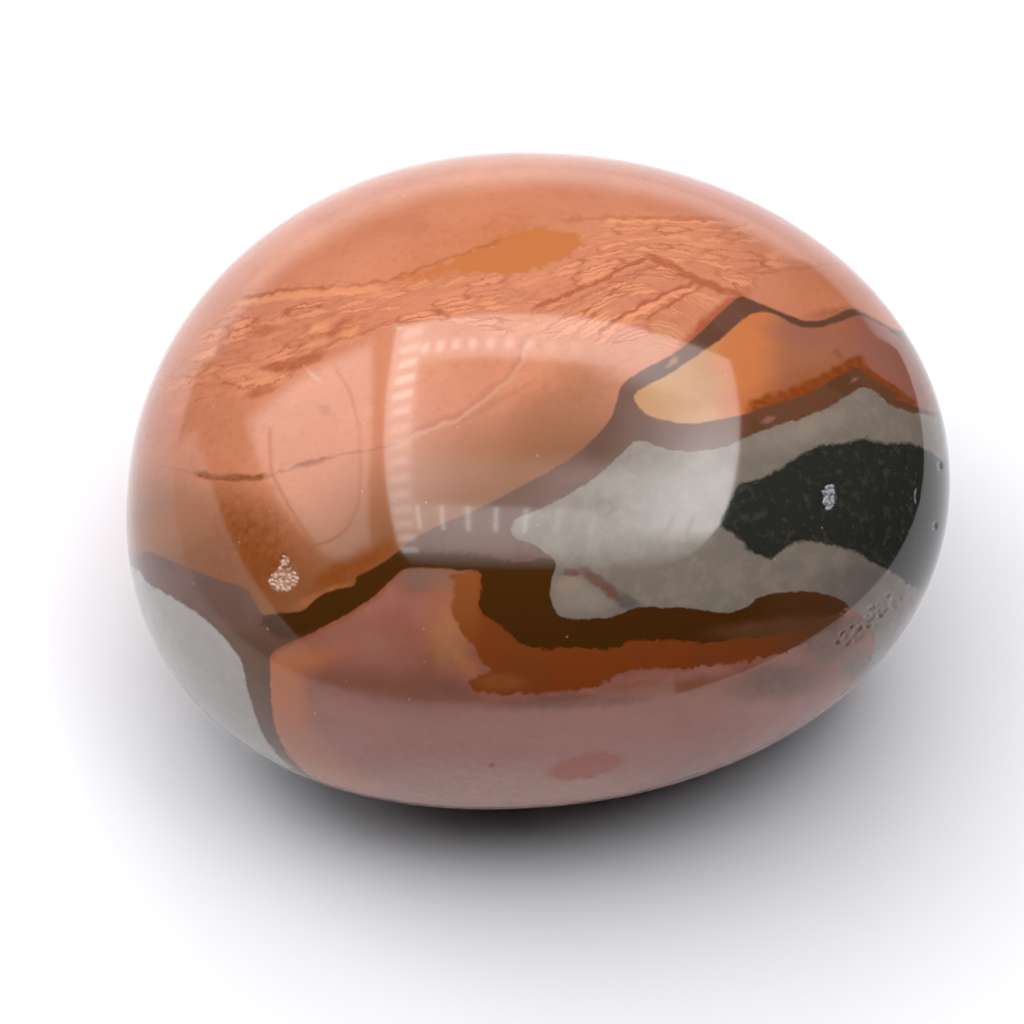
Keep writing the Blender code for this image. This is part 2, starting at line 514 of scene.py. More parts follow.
def depth_inside(x, y, corners):
    """Distance in from a closed outline, negative outside it."""
    outline = smooth_outline(corners)
    nearest = np.full(len(x), np.inf)
    inside = np.zeros(len(x), bool)
    for (ax, ay), (bx, by) in zip(outline, np.roll(outline, -1, axis=0)):
        run_x, run_y = bx - ax, by - ay
        share = ((x - ax) * run_x + (y - ay) * run_y) / max(run_x ** 2 + run_y ** 2, 1e-9)
        share = np.clip(share, 0, 1)
        nearest = np.minimum(nearest, (x - ax - share * run_x) ** 2 + (y - ay - share * run_y) ** 2)
        if ay != by:
            crossing = (ay > y) != (by > y)
            inside ^= crossing & (x < ax + (y - ay) * run_x / run_y)
    return np.where(inside, 1, -1) * np.sqrt(nearest)


def below_line(x, y, line):
    """Distance below a line that runs from left to right, negative above it."""
    xs, ys = np.array(line, float).T
    height = np.interp(x, xs, ys)
    slope = (np.interp(x + SLOPE_REACH, xs, ys) - np.interp(x - SLOPE_REACH, xs, ys)) / (2 * SLOPE_REACH)
    return (y - height) / np.sqrt(1 + slope ** 2)


def soft_step(value):
    """Smooth step from 0 at 0 to 1 at 1."""
    share = np.clip(value, 0, 1)
    return share * share * (3 - 2 * share)


def oval_reach(x, y, middle_x, middle_y, long, wide, rise, soft, margin=0.0):
    """Distance from the middle of an oval, in shares of its half sizes."""
    cos, sin = math.cos(math.radians(rise)), math.sin(math.radians(rise))
    across = ((x - middle_x) * cos - (y - middle_y) * sin) / (long + margin)
    down = ((x - middle_x) * sin + (y - middle_y) * cos) / (wide + margin)
    return np.hypot(across, down)


def stroke_span(x, start, end):
    """1 between two places along a line and 0 outside them."""
    return soft_step((x - start) / STROKE_END + 0.5) * soft_step((end - x) / STROKE_END + 0.5)


def mark_share(x, y, shape):
    """1 in a mark and 0 outside it."""
    if shape[0] in LINES:
        line, start, end, width, shift, soft = shape
        away = np.abs(below_line(x, y, LINES[line]) - shift) / width
        return soft_step((1 + soft - away) / (2 * soft)) * stroke_span(x, start, end)
    return soft_step((1 + shape[-1] - oval_reach(x, y, *shape)) / (2 * shape[-1]))


def near_mark(x, y, shape):
    """True near a mark that is too narrow for the even squares."""
    if shape[0] in LINES:
        line, start, end, width, shift, _ = shape
        close = np.abs(below_line(x, y, LINES[line]) - shift) < width + MARK_MARGIN
        return close & (x > start - MARK_MARGIN) & (x < end + MARK_MARGIN)
    if shape[3] * shape[-1] > WIDE_MARK:
        return np.zeros(len(x), bool)
    return oval_reach(x, y, *shape, MARK_MARGIN) < 1


def tangled_place(points, x, y):
    """Place on the drawing, moved to and fro by a fine noise, for ragged marks."""
    noise.seed_set(TANGLE_SEED)
    shift = np.zeros((len(points), 3))
    for size, reach in TANGLES:
        scaled = points / (size * VIEW_UNIT)
        shift += reach * np.array([noise.noise_vector(place) for place in scaled])
    return x + shift[:, 0], y + shift[:, 1]


def store(mesh, name, values):
    """Keeps a number for every point of the mesh under a name."""
    layer = mesh.attributes.new(name, "FLOAT", "POINT")
    layer.data.foreach_set("value", values.astype(np.float32))


def smooth_level(x, line):
    """Height of a line that runs from left to right, with its corners rounded."""
    xs, ys = np.array(line, float).T
    return np.mean([np.interp(x + shift, xs, ys) for shift in LEVEL_SHIFTS], axis=0)


def store_drawing(mesh, points, x, y, behind):
    """Lays the drawing on the mesh: its place, its depth inside each field and its marks."""
    store(mesh, "drawing_x", x)
    store(mesh, "drawing_y", y)
    store(mesh, "behind_rim", behind * BEHIND_UNITS)
    for name, outline in FIELDS.items():
        store(mesh, name, depth_inside(x, y, outline))
    top, low = smooth_level(x, LINES["top_bed"]), smooth_level(x, LINES["low_bed"])
    store(mesh, "bed", (y - top) / np.maximum(low - top, BED_LEAST) * BED_UNITS)
    rough_x, rough_y = tangled_place(points, x, y)
    front = soft_step(1 - behind / MARK_FADE)
    for field, colours in MARKS.items():
        for colour, marks in colours.items():
            shares = [mark[0] * mark_share(rough_x, rough_y, mark[1:]) for mark in marks]
            store(mesh, f"{field}_{colour}", np.max(shares, axis=0) * front)


# Relief of the polished surface, in units of the front view
PITS = (  # place, half width, half height and depth
    (917, 496, 2.5, 8, 1.4), (940, 466, 3, 5, 1.6), (935, 526, 3, 4.5, 1.6), (829, 498, 8, 16, 1.6),
    (283, 577, 17, 16, 2.5), (284, 560, 6, 7, 2), (893, 607, 5, 3, 2), (880, 615, 4, 3, 2),
    (868, 626, 5, 3, 2), (900, 598, 3, 4, 1.5), (856, 634, 4, 3, 1.5), (491, 765, 3, 2.5, 1.5),
    (837, 641, 3, 2, 1.5),
)
NESTS = (  # place, half width, half height, number of crystals and their size
    (283, 579, 14, 12, 60, 2.3), (285, 561, 4, 6, 8, 2.1), (829, 497, 6, 13, 44, 2.1),
)
GRAIN_SIZES = (0.6, 1.2)
GRAIN_SLIMNESS = (0.5, 0.9)
GRAIN_BLUNTNESS = 0.7
GRAIN_TIP = 1.1
GRAIN_FULL = 0.8  # the height at which a crystal shows its whole colour
GROOVES = ((196, 262, 2.6, 0.8), (300, 328, 1.8, 0.4))  # start, end, half width and depth on the crack
GROOVE_END = 8
NEST_EDGE = 4.0
NEST_GROUND = 0.55
PITTED = ((884, 604, 20, 8, -40), (858, 630, 26, 10, -38))  # middle, half length, half width and rise
PITTED_COUNT = 24
PITTED_DEPTH = 1.3
PITTED_SIZES = (1.6, 2.4)  # least radius, and how far it grows with chance
GRAIN_SEED = 7
FINE_CUTS = 2
RIM_REACH = 0.08  # how far behind the rim the squares stay small
RELIEF_MARGIN = 6


def grain_heights(x, y, nest, random):
    """Height of a nest of crystals: small tilted pyramids, each with its own turn and size."""
    middle_x, middle_y, reach_x, reach_y, count, size = nest
    height = np.zeros(len(x))
    for _ in range(count):
        turn, place = random.uniform(0, 2 * math.pi, 2)
        away = math.sqrt(random.uniform(0, 1))
        width = size * random.uniform(*GRAIN_SIZES)
        across = x - middle_x - reach_x * away * math.cos(place)
        down = y - middle_y - reach_y * away * math.sin(place)
        first = np.abs(across * math.cos(turn) + down * math.sin(turn)) / width
        second = np.abs(down * math.cos(turn) - across * math.sin(turn))
        second = second / (width * random.uniform(*GRAIN_SLIMNESS))
        steep = np.maximum(np.maximum(first, second), GRAIN_BLUNTNESS * (first + second))
        height = np.maximum(height, width * np.clip(GRAIN_TIP - steep, 0, 1))
    return height


def surface_relief(x, y):
    """Rise of the surface at places of the front view, and the share of quartz there."""
    rise = np.zeros(len(x))
    for pit_x, pit_y, reach_x, reach_y, depth in PITS:
        reach = ((x - pit_x) / reach_x) ** 2 + ((y - pit_y) / reach_y) ** 2
        rise -= depth * np.clip(1 - reach, 0, 1)
    across = below_line(x, y, LINES["crack"])
    for start, end, width, depth in GROOVES:
        span = np.clip((x - start) / GROOVE_END, 0, 1) * np.clip((end - x) / GROOVE_END, 0, 1)
        rise -= depth * span * np.clip(1 - (across / width) ** 2, 0, 1)
    random = np.random.default_rng(GRAIN_SEED)
    for middle_x, middle_y, long, wide, turn in PITTED:
        cos, sin = math.cos(math.radians(turn)), math.sin(math.radians(turn))
        for away, place, size in random.uniform(0, 1, (PITTED_COUNT, 3)):
            along = long * math.sqrt(away) * math.cos(2 * math.pi * place)
            aside = wide * math.sqrt(away) * math.sin(2 * math.pi * place)
            pit_x, pit_y = middle_x + along * cos - aside * sin, middle_y + along * sin + aside * cos
            reach = np.hypot(x - pit_x, y - pit_y) / (PITTED_SIZES[0] + PITTED_SIZES[1] * size)
            rise = np.minimum(rise, -PITTED_DEPTH * np.clip(1 - reach ** 2, 0, 1))
    grains = np.max([grain_heights(x, y, nest, random) for nest in NESTS], axis=0)
    ground = [soft_step(NEST_EDGE * (1 - oval_reach(x, y, *nest[:4], 0, 0))) for nest in NESTS]
    quartz = np.maximum(np.clip(grains / GRAIN_FULL, 0, 1), NEST_GROUND * np.max(ground, axis=0))
    return rise + grains, quartz


def all_of(x, y):
    """True everywhere."""
    return np.ones(len(x), bool)


def near_detail(x, y):
    """True where the front view has relief or a narrow mark close by."""
    near = np.zeros(len(x), bool)
    for colours in MARKS.values():
        for mark in (mark for marks in colours.values() for mark in marks):
            near |= near_mark(x, y, mark[1:])
    for pit_x, pit_y, reach_x, reach_y, _ in PITS:
        reach_x, reach_y = reach_x + RELIEF_MARGIN, reach_y + RELIEF_MARGIN
        near |= np.hypot((x - pit_x) / reach_x, (y - pit_y) / reach_y) < 1
    for middle_x, middle_y, long, wide, turn in PITTED:
        near |= oval_reach(x, y, middle_x, middle_y, long, wide, -turn, 0, MARK_MARGIN) < 1
    across = np.abs(below_line(x, y, LINES["crack"]))
    for start, end, width, _ in GROOVES:
        near |= (x > start - RELIEF_MARGIN) & (x < end + RELIEF_MARGIN) & (across < width + RELIEF_MARGIN)
    return near


def near_crystals(x, y):
    """True where the front view has crystals close by."""
    near = np.zeros(len(x), bool)
    for middle_x, middle_y, reach_x, reach_y, _, size in NESTS:
        near |= np.hypot((x - middle_x) / (reach_x + size), (y - middle_y) / (reach_y + size)) < 1
    return near


def rounded_cube(fineness, pebble, view):
    """Cube of even squares, ready to be rounded, with smaller ones where the stone has detail."""
    body = bmesh.new()
    bmesh.ops.create_cube(body, size=2)
    bmesh.ops.subdivide_edges(body, edges=body.edges[:], cuts=fineness - 1, use_grid_fill=True)
    for near, reach, cuts in ((all_of, RIM_REACH, 1), (near_detail, 0, FINE_CUTS), (near_crystals, 0, 1)):
        faces = body.faces[:]
        directions = unit_directions(np.array([face.calc_center_median() for face in faces]))
        x, y = view.draw(pebble.points(directions))
        chosen = near(x, y) & (behind_rim(directions, view, pebble) <= reach)
        edges = list(dict.fromkeys(edge for i in np.flatnonzero(chosen) for edge in faces[i].edges))
        bmesh.ops.subdivide_edges(body, edges=edges, cuts=cuts, use_grid_fill=True)
    mesh = bpy.data.meshes.new(STONE_PIECE)
    body.to_mesh(mesh)
    body.free()
    return mesh


class Paint:
    """One material and the nodes that make up its finish."""

    def __init__(self, name):
        self.material = bpy.data.materials.new(name)
        self.material.use_nodes = True
        self.tree = self.material.node_tree
        self.tree.nodes.clear()

    def add(self, kind, inputs=(), **settings):
        """Adds a node. inputs maps a socket's name or number to a number, a colour or another socket."""
        node = self.tree.nodes.new(kind)
        for key, value in settings.items():
            setattr(node, key, value)
        for key, value in dict(inputs).items():
            if isinstance(value, bpy.types.NodeSocket):
                self.tree.links.new(value, node.inputs[key])
            else:
                node.inputs[key].default_value = value
        return node

    def stored(self, name):
        """Number kept on the mesh under a name."""
        return self.add("ShaderNodeAttribute", attribute_name=name).outputs["Fac"]

    def channels(self, colour):
        """Red, green and blue of a colour."""
        return self.add("ShaderNodeSeparateColor", {0: colour}).outputs

    def sum(self, first, second):
        return self.add("ShaderNodeMath", {0: first, 1: second}, operation="ADD").outputs[0]

    def times(self, first, second):
        return self.add("ShaderNodeMath", {0: first, 1: second}, operation="MULTIPLY").outputs[0]

    def line(self, value, slope, rise):
        """Value times a slope, plus a rise."""
        inputs = {0: value, 1: slope, 2: rise}
        return self.add("ShaderNodeMath", inputs, operation="MULTIPLY_ADD").outputs[0]

    def fade(self, value, start, end, low=0.0, high=1.0):
        """Smooth step from low at start to high at end."""
        swap = start > end
        inputs = {0: value, 1: end if swap else start, 2: start if swap else end}
        inputs.update({3: high if swap else low, 4: low if swap else high})
        return self.add("ShaderNodeMapRange", inputs, interpolation_type="SMOOTHSTEP").outputs[0]

    def stretch(self, place, scale, shift=(0, 0, 0)):
        """Place scaled along its three axes, then shifted."""
        node = self.add("ShaderNodeMapping", {"Vector": place, "Scale": scale, "Location": shift})
        return node.outputs[0]

    def grain(self, place, size, detail=2.0, roughness=0.5):
        """Soft noise from 0 to 1, with features of about a size in the place's units."""
        inputs = {"Vector": place, "Scale": 1 / size, "Detail": detail, "Roughness": roughness}
        return self.add("ShaderNodeTexNoise", inputs).outputs["Fac"]

    def blend(self, share, below, above):
        """Colour above laid over the colour below by a share."""
        node = self.add("ShaderNodeMix", {0: share}, data_type="RGBA")
        for socket, colour in ((node.inputs[6], below), (node.inputs[7], above)):
            if isinstance(colour, bpy.types.NodeSocket):
                self.tree.links.new(colour, socket)
            else:
                socket.default_value = (*colour[:3], 1)
        return node.outputs[2]


# Where colours start and end to change: across the front view, down it, and by depth inside a field
PLUM_ACROSS = (275, 235)
STEM_DOWN, STEM_ACROSS = (618, 640), (330, 300)
LOWER_ARM_ACROSS, LOWER_ARM_DOWN = (700, 750), (350, 365)
BORDER_DEPTH, BORDER_DOWN = (130, 0), (360, 450)
ORANGE_ACROSS, TAN_ACROSS, MAUVE_ACROSS = (700, 740), (752, 794), (826, 872)
RIM_DEPTH, RIM_DOWN, RIM_ACROSS = (46, 22), (635, 665), (400, 325)
ROSE_EDGE_DEPTH, ROSE_EDGE_DOWN = (6, 2), (670, 650)
BURNT_ARM_ACROSS, BURNT_ARM_DOWN = (486, 474), (660, 600)
BURNT_END_ACROSS, CHOCOLATE_END_ACROSS = (745, 840), (740, 800)
# Painted shade on the underside: how far behind the rim and how far down it starts and ends
SHADED_UNDERSIDE_BEHIND, SHADED_UNDERSIDE_DOWN = (10, 120), (600, 740)
CLEAR_CRYSTALS_ACROSS = (500, 600)


class JasperSurface:
    """Places and noises that every field of the jasper shares, and its colours."""

    def __init__(self, paint, colours):
        self.paint = paint
        self.colours = colours
        self.x, self.y = paint.stored("drawing_x"), paint.stored("drawing_y")
        self.behind = paint.stored("behind_rim")
        where = paint.add("ShaderNodeTexCoord").outputs["Object"]
        unit = 1 / VIEW_UNIT
        self.stone = paint.stretch(where, (unit, unit, unit))
        tangle = paint.add("ShaderNodeTexNoise", {
            "Vector": self.stone, "Scale": 1 / FINE_GRAIN, "Detail": 3, "Roughness": 0.6,
        })
        self.fine = paint.sum(tangle.outputs["Fac"], -0.5)
        red, green, _ = paint.channels(tangle.outputs["Color"])
        self.shift_x, self.shift_y = paint.sum(red, -0.5), paint.sum(green, -0.5)
        self.coarse = paint.sum(paint.grain(self.stone, COARSE_GRAIN, 3, 0.55), -0.5)
        self.cloud = paint.grain(self.stone, CLOUD_SIZE, 2, 0.5)
        self.dust = self.specks(15, 1.2, 0.14)
        self.mark_grain = paint.line(self.fine, 1.2, 1)

    def ragged(self, field, fine=3.0, coarse=3.0):
        """Depth inside a field with its edge made ragged by these widths."""
        depth = self.paint.line(self.fine, 2 * fine, self.paint.stored(field))
        return self.paint.line(self.coarse, 2 * coarse, depth)

    def inside(self, field, soft=1.5, fine=3.0, coarse=3.0):
        """1 inside a field and 0 outside it, over an edge of a soft width."""
        return self.paint.fade(self.ragged(field, fine, coarse), -soft, soft)

    def area(self, across, down):
        """Share that grows over these places across and down the front view."""
        return self.paint.times(self.paint.fade(self.x, *across), self.paint.fade(self.y, *down))

    def marks(self, field, below):
        """Lays a field's marks over a colour, all of one colour at a time."""
        for colour in MARKS[field]:
            share = self.paint.times(self.paint.stored(f"{field}_{colour}"), self.mark_grain)
            below = self.paint.blend(share, below, getattr(self.colours, colour))
        return below

    def specks(self, spacing, radius, share):
        """Scattered round specks, in a share of the places that could hold one."""
        cell = self.paint.add("ShaderNodeTexVoronoi", {"Vector": self.stone, "Scale": 1 / spacing})
        inner, outer = (radius - SPECK_EDGE) / spacing, (radius + SPECK_EDGE) / spacing
        near = self.paint.fade(cell.outputs["Distance"], outer, inner)
        chance = self.paint.channels(cell.outputs["Color"])[0]
        return self.paint.times(near, self.paint.fade(chance, share + 0.01, share - 0.01))


def lay_bands(surface):
    """Brown bands that show between the fields, from plum on the left to umber."""
    paint, colours = surface.paint, surface.colours
    colour = paint.blend(paint.fade(surface.x, *PLUM_ACROSS), colours.umber, colours.plum)
    stem = surface.area(STEM_ACROSS, STEM_DOWN)
    colour = paint.blend(stem, colour, colours.stem)
    colour = paint.blend(surface.inside("strip", 4, 5, 6), colour, colours.chocolate)
    lower_arm = surface.area(LOWER_ARM_ACROSS, LOWER_ARM_DOWN)
    colour = paint.blend(paint.times(lower_arm, 0.75), colour, colours.stem)
    colour = paint.blend(paint.fade(surface.coarse, 0.05, -0.1, 0, 0.25), colour, colours.chocolate)
    return surface.marks("bands", colour)


def lay_flakes(surface, tone):
    """Flaky bed: long thin flakes with dark gaps here and there."""
    paint, colours = surface.paint, surface.colours
    level = paint.stored("bed")
    place = paint.add("ShaderNodeCombineXYZ", {
        "X": paint.times(paint.line(surface.shift_x, TANGLE_REACH, surface.x), 1 / FLAKE_LENGTH),
        "Y": paint.times(paint.line(surface.shift_y, TANGLE_REACH, level), 1 / FLAKE_THICKNESS),
        "Z": paint.times(surface.behind, 1 / FLAKE_LENGTH),
    }).outputs[0]
    flat = {"Vector": place, "Scale": 1}
    cell = paint.add("ShaderNodeTexVoronoi", flat, voronoi_dimensions="2D")
    edge = paint.add("ShaderNodeTexVoronoi", flat, voronoi_dimensions="2D", feature="DISTANCE_TO_EDGE")
    gap = edge.outputs["Distance"]
    chance, turn, _ = paint.channels(cell.outputs["Color"])
    bed = surface.inside("flakes", 12, 10, 14)
    patchy = paint.fade(surface.coarse, -0.04, 0.08, 0.4, 1)
    light = paint.times(paint.fade(chance, 0.35, 0.75, 0, 0.6), paint.fade(gap, 0.0, 0.32))
    tone = paint.blend(paint.times(light, bed), tone, colours.terracotta_light)
    dark = paint.times(paint.fade(gap, 0.22, 0.0), paint.fade(turn, 0.2, 0.7, 0, 0.8))
    dark = paint.times(paint.times(dark, patchy), bed)
    return paint.blend(dark, tone, colours.terracotta_deep)


def lay_terracotta(surface, below):
    """Main field with its brown border, flaky bed, lens, seams, crack and vein."""
    paint, colours = surface.paint, surface.colours
    depth = surface.ragged("terracotta", 1.5, 1.5)
    cloudy = paint.fade(surface.cloud, 0.35, 0.65, 0, 0.3)
    tone = paint.blend(cloudy, colours.terracotta, colours.terracotta_light)
    tone = paint.blend(paint.fade(surface.coarse, 0.1, -0.15, 0, 0.12), tone, colours.terracotta_deep)
    tone = paint.blend(paint.fade(surface.fine, 0, 0.2, 0, 0.15), tone, colours.terracotta_deep)
    border = paint.times(paint.fade(depth, *BORDER_DEPTH), paint.fade(surface.y, *BORDER_DOWN))
    tone = paint.blend(border, tone, colours.border)
    tone = lay_flakes(surface, tone)
    tone = paint.blend(surface.inside("lens", 2.5, 9, 6), tone, colours.ochre)
    tone = surface.marks("terracotta", tone)
    return paint.blend(paint.fade(depth, -1.5, 1.5), below, tone)


def lay_leaf(surface, below):
    """Leaf between the two arms: pale ochre, orange, then mauve, with a rust border below."""
    paint, colours = surface.paint, surface.colours
    tone = paint.blend(paint.fade(surface.x, *ORANGE_ACROSS), colours.leaf_pale, colours.leaf_orange)
    tone = paint.blend(paint.fade(surface.x, *TAN_ACROSS), tone, colours.leaf_tan)
    tone = paint.blend(paint.fade(surface.x, *MAUVE_ACROSS), tone, colours.leaf_mauve)
    tone = paint.blend(paint.fade(surface.coarse, -0.05, 0.15, 0, 0.25), tone, colours.terracotta_deep)
    tone = surface.marks("leaf", tone)
    return paint.blend(surface.inside("leaf", 1.5, 2, 2), below, tone)


def lay_lower(surface, below):
    """Rose field with the burnt and chocolate fields that hang over it."""
    paint, colours = surface.paint, surface.colours
    tone = paint.blend(paint.fade(surface.coarse, -0.1, 0.12, 0, 0.45), colours.rose, colours.rose_light)
    tone = paint.blend(paint.fade(surface.cloud, 0.55, 0.4, 0, 0.3), tone, colours.umber)
    depth = surface.ragged("rose", 2, 3)
    rim = paint.times(paint.fade(depth, *RIM_DEPTH), paint.fade(surface.y, *RIM_DOWN))
    rim = paint.times(rim, paint.fade(surface.x, *RIM_ACROSS))
    tone = paint.blend(paint.times(rim, 0.8), tone, colours.ochre)
    edge = paint.times(paint.fade(depth, *ROSE_EDGE_DEPTH), paint.fade(surface.y, *ROSE_EDGE_DOWN))
    tone = paint.blend(paint.times(edge, 0.6), tone, colours.rust_light)
    tone = surface.marks("rose", tone)
    below = paint.blend(paint.fade(depth, -1.5, 1.5), below, tone)
    burnt = paint.blend(paint.fade(surface.coarse, -0.06, 0.12, 0, 0.2), colours.rust, colours.stem)
    arm = surface.area(BURNT_ARM_ACROSS, BURNT_ARM_DOWN)
    burnt = paint.blend(paint.times(arm, 0.8), burnt, colours.rust_light)
    burnt = paint.blend(paint.fade(surface.x, *BURNT_END_ACROSS), burnt, colours.stem)
    below = paint.blend(surface.inside("burnt", 2, 7, 5), below, burnt)
    end = paint.fade(surface.x, *CHOCOLATE_END_ACROSS, 0, 0.35)
    brown = paint.blend(end, colours.chocolate, colours.stem)
    below = paint.blend(surface.inside("chocolate", 1.5, 6, 4), below, brown)
    return surface.marks("lower", below)


def lay_grey(surface, below):
    """Grey field with its black patch, and the pale field at the left."""
    paint, colours = surface.paint, surface.colours
    mottle = paint.grain(surface.stone, MOTTLE_SIZE, 3, 0.6)
    tone = paint.blend(paint.fade(mottle, 0.42, 0.66, 0, 0.5), colours.grey, colours.grey_light)
    tone = paint.blend(paint.fade(surface.cloud, 0.5, 0.36, 0, 0.16), tone, colours.purple_grey)
    tone = surface.marks("grey", tone)
    below = paint.blend(surface.inside("grey", 1.2, 3, 2), below, tone)
    black = paint.blend(paint.fade(surface.fine, 0, 0.2, 0, 0.14), colours.black, colours.grey)
    black = paint.blend(surface.dust, black, colours.grey)
    below = paint.blend(surface.inside("black", 2.2, 5, 2), below, black)
    pale = paint.blend(paint.fade(mottle, 0.4, 0.6, 0, 0.14), colours.pale_grey, colours.grey_light)
    return paint.blend(surface.inside("pale", 1.5, 2, 2), below, pale)


def polished_jasper(colours):
    """Opaque banded jasper under a glassy polish."""
    paint = Paint("polished jasper")
    surface = JasperSurface(paint, colours)
    tone = lay_bands(surface)
    tone = lay_terracotta(surface, tone)
    tone = lay_leaf(surface, tone)
    tone = lay_lower(surface, tone)
    tone = lay_grey(surface, tone)
    # Painted shade: the underside, behind the rim and low on the front view, is darkened towards black, so it
    # throws little coloured light onto the sheet under the stone.
    under = paint.times(paint.fade(surface.behind, *SHADED_UNDERSIDE_BEHIND), paint.fade(surface.y, *SHADED_UNDERSIDE_DOWN))
    tone = paint.blend(paint.times(under, 0.85), tone, colours.black)
    tone = paint.blend(paint.times(surface.dust, 0.4), tone, colours.quartz)
    crystals = paint.stored("quartz")
    clear = paint.fade(surface.x, *CLEAR_CRYSTALS_ACROSS)
    crystal_tone = paint.blend(clear, colours.quartz, colours.crystal)
    tone = paint.blend(paint.times(crystals, 0.8), tone, crystal_tone)
    roughness = paint.fade(crystals, 0.1, 0.6, POLISH_ROUGHNESS, CRYSTAL_ROUGHNESS)
    shader = paint.add("ShaderNodeBsdfPrincipled", {
        "Base Color": tone, "Roughness": roughness, "IOR": QUARTZ_IOR,
    })
    paint.add("ShaderNodeOutputMaterial", {"Surface": shader.outputs[0]})
    return paint.material


class JASPER_OT_shape_stone(Operator):
    """Rounds the stone to its size, draws its bands on it and polishes it"""

    bl_idname = "jasper.shape_stone"
    bl_label = "Shape and Paint Stone"

    def execute(self, context):
        sizes, studio = context.scene.jasper_sizes, context.scene.jasper_studio
        pebble = Pebble(sizes)
        view = FrontView(pebble.middle, studio)
        mesh = rounded_cube(sizes.fineness, pebble, view)
        corners = np.empty(len(mesh.vertices) * 3)
        mesh.vertices.foreach_get("co", corners)
        directions = unit_directions(corners.reshape(-1, 3))
        points = pebble.points(directions)
        behind = behind_rim(directions, view, pebble)
        store_drawing(mesh, points, *drawing_place(points, behind, view), behind)
        rise, quartz = surface_relief(*view.draw(points))
        front = behind == 0
        store(mesh, "quartz", quartz * front)
        points += pebble.outward(directions) * (rise * front * VIEW_UNIT)[:, None]
        mesh.vertices.foreach_set("co", points.ravel())
        mesh.update()
        mesh.shade_smooth()
        mesh.materials.append(polished_jasper(context.scene.jasper_colours))
        stone = bpy.data.objects.new(STONE_PIECE, mesh)
        context.scene.collection.objects.link(stone)
        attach(stone, ROOT_BODY)
        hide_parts(STONE_NODE)
        return {"FINISHED"}


FLOOR_REACH = 3.5
BACKDROP_REACH = 3.4
BACKDROP_LOW, BACKDROP_HIGH = -0.5, 3.0
BACKDROP_STEPS = 48
BACKDROP_COLOUR = (0.9, 0.9, 0.92)
NEAR_BLACK = (0.02, 0.02, 0.02)
ARCH_STEPS = 25
DARK_CARD_STEPS = 17
SENSOR_WIDTH = 36
CLIP_RANGE = (0.01, 10)

# The square lamp above the stone. Its places are runs over its height, as seen from the stone
LAMP_HEIGHT = 0.42
LAMP_CORNERS = (
    (-0.51, -0.38), (-0.47, -0.53), (0.40, -0.70), (0.55, -0.60), (0.60, -0.36), (0.52, 0.65),
    (-0.54, 0.87),
)
LAMP_SKEW = 0.2

# Brightness of the lamp. Each pair is places across or along it, and what it is worth there
MIDDLE_GLOW = ((-0.39, -0.25, -0.05, 0.1, 0.22, 0.42), (2.4, 1.1, 0.4, 0.8, 2.6, 7.4))
MIDDLE_FADE = ((0.1, 0.4, 0.7), (1.0, 0.65, 0.3))
NEAR_GLOW = ((-0.4, -0.1, 0.1, 0.3, 0.42), (0.8, 1.0, 2.4, 2.3, 0.6))
NEAR_FADE = ((-0.03, 0.08), (1.0, 0.0))
LEFT_TUBE = ((-0.43, -0.38), (4.4, 0.0))
BACK_TUBE = ((0.51, 0.55), (0.0, 1.0))
BACK_GLOW = ((0.05, 0.2, 0.4), (3.8, 4.6, 3.4))
BACK_BEND = 0.25
DARK_EDGE = ((-0.41, -0.29), (0.0, 1.0))
FRONT_TUBE = ((-0.23, -0.19), (1.0, 0.0))
FRONT_GLOW = ((-0.62, -0.44, -0.27), (0.0, 3.2, 4.0))
FRONT_SPREAD = ((-0.4, 0.0, 0.3, 0.55), (1.0, 1.0, 1.0, 0.6))
ACROSS_GLOWS = (MIDDLE_GLOW, NEAR_GLOW, LEFT_TUBE, BACK_GLOW, FRONT_SPREAD)
ALONG_GLOWS = (MIDDLE_FADE, NEAR_FADE, BACK_TUBE, DARK_EDGE, FRONT_TUBE, FRONT_GLOW)

# Rows of small lights under the lamp: their levels, spacings, half sizes and brightness
DOT_DROP = 0.004
LEFT_ROW, LEFT_PLACES = -0.46, (-0.40, 0.86, 0.085)
BACK_ROW, BACK_PLACES = 0.60, (-0.40, 0.32, 0.053)
FRONT_ROW, FRONT_PLACES = -0.28, (-0.40, 0.52, 0.085)
LEFT_DOT, BACK_DOT, FRONT_DOT = (0.036, 0.02), (0.012, 0.028), (0.006, 0.07)
LEFT_DOTS = ((-0.4, 0.3, 0.5, 0.86), (5.6, 6.2, 10.0, 7.0))
BACK_DOTS = ((-0.4, -0.2, 0.0, 0.3), (9.0, 8.0, 5.2, 4.6))
FRONT_DOTS = ((-0.4, -0.1, 0.05, 0.5), (9.0, 9.0, 5.5, 4.6))

# The side panel and the arched card stand upright on the left: places across and above the stone's middle
PANEL_REACH = 0.30
PANEL_OUTLINE = (
    (-0.192, 0.472), (-0.188, 0.365), (-0.148, 0.305), (0.159, 0.145), (0.208, 0.208), (0.412, 0.468),
    (0.306, 0.512), (0.114, 0.536),
)
PANEL_GLOW = ((-0.19, 0.0, 0.2), (1.5, 2.0, 3.1))
PANEL_EDGE = 0.15  # the share of the panel, from its outline inwards, over which it brightens
SEAM_REACH = 0.27
SEAM_HALF_WIDTH = 0.0032
PANEL_SEAMS = (
    ((0.126, 0.192), (0.094, 0.197), (0.063, 0.197), (-0.006, 0.231), (-0.089, 0.258)),
    ((0.254, 0.319), (0.22, 0.379), (0.145, 0.422), (0.064, 0.428), (-0.023, 0.415), (-0.076, 0.364),
     (-0.091, 0.311), (-0.086, 0.254)),
)
ARCH_REACH = 0.35
ARCH_MIDDLE = -0.112
ARCH_HALF_WIDTH = 0.325
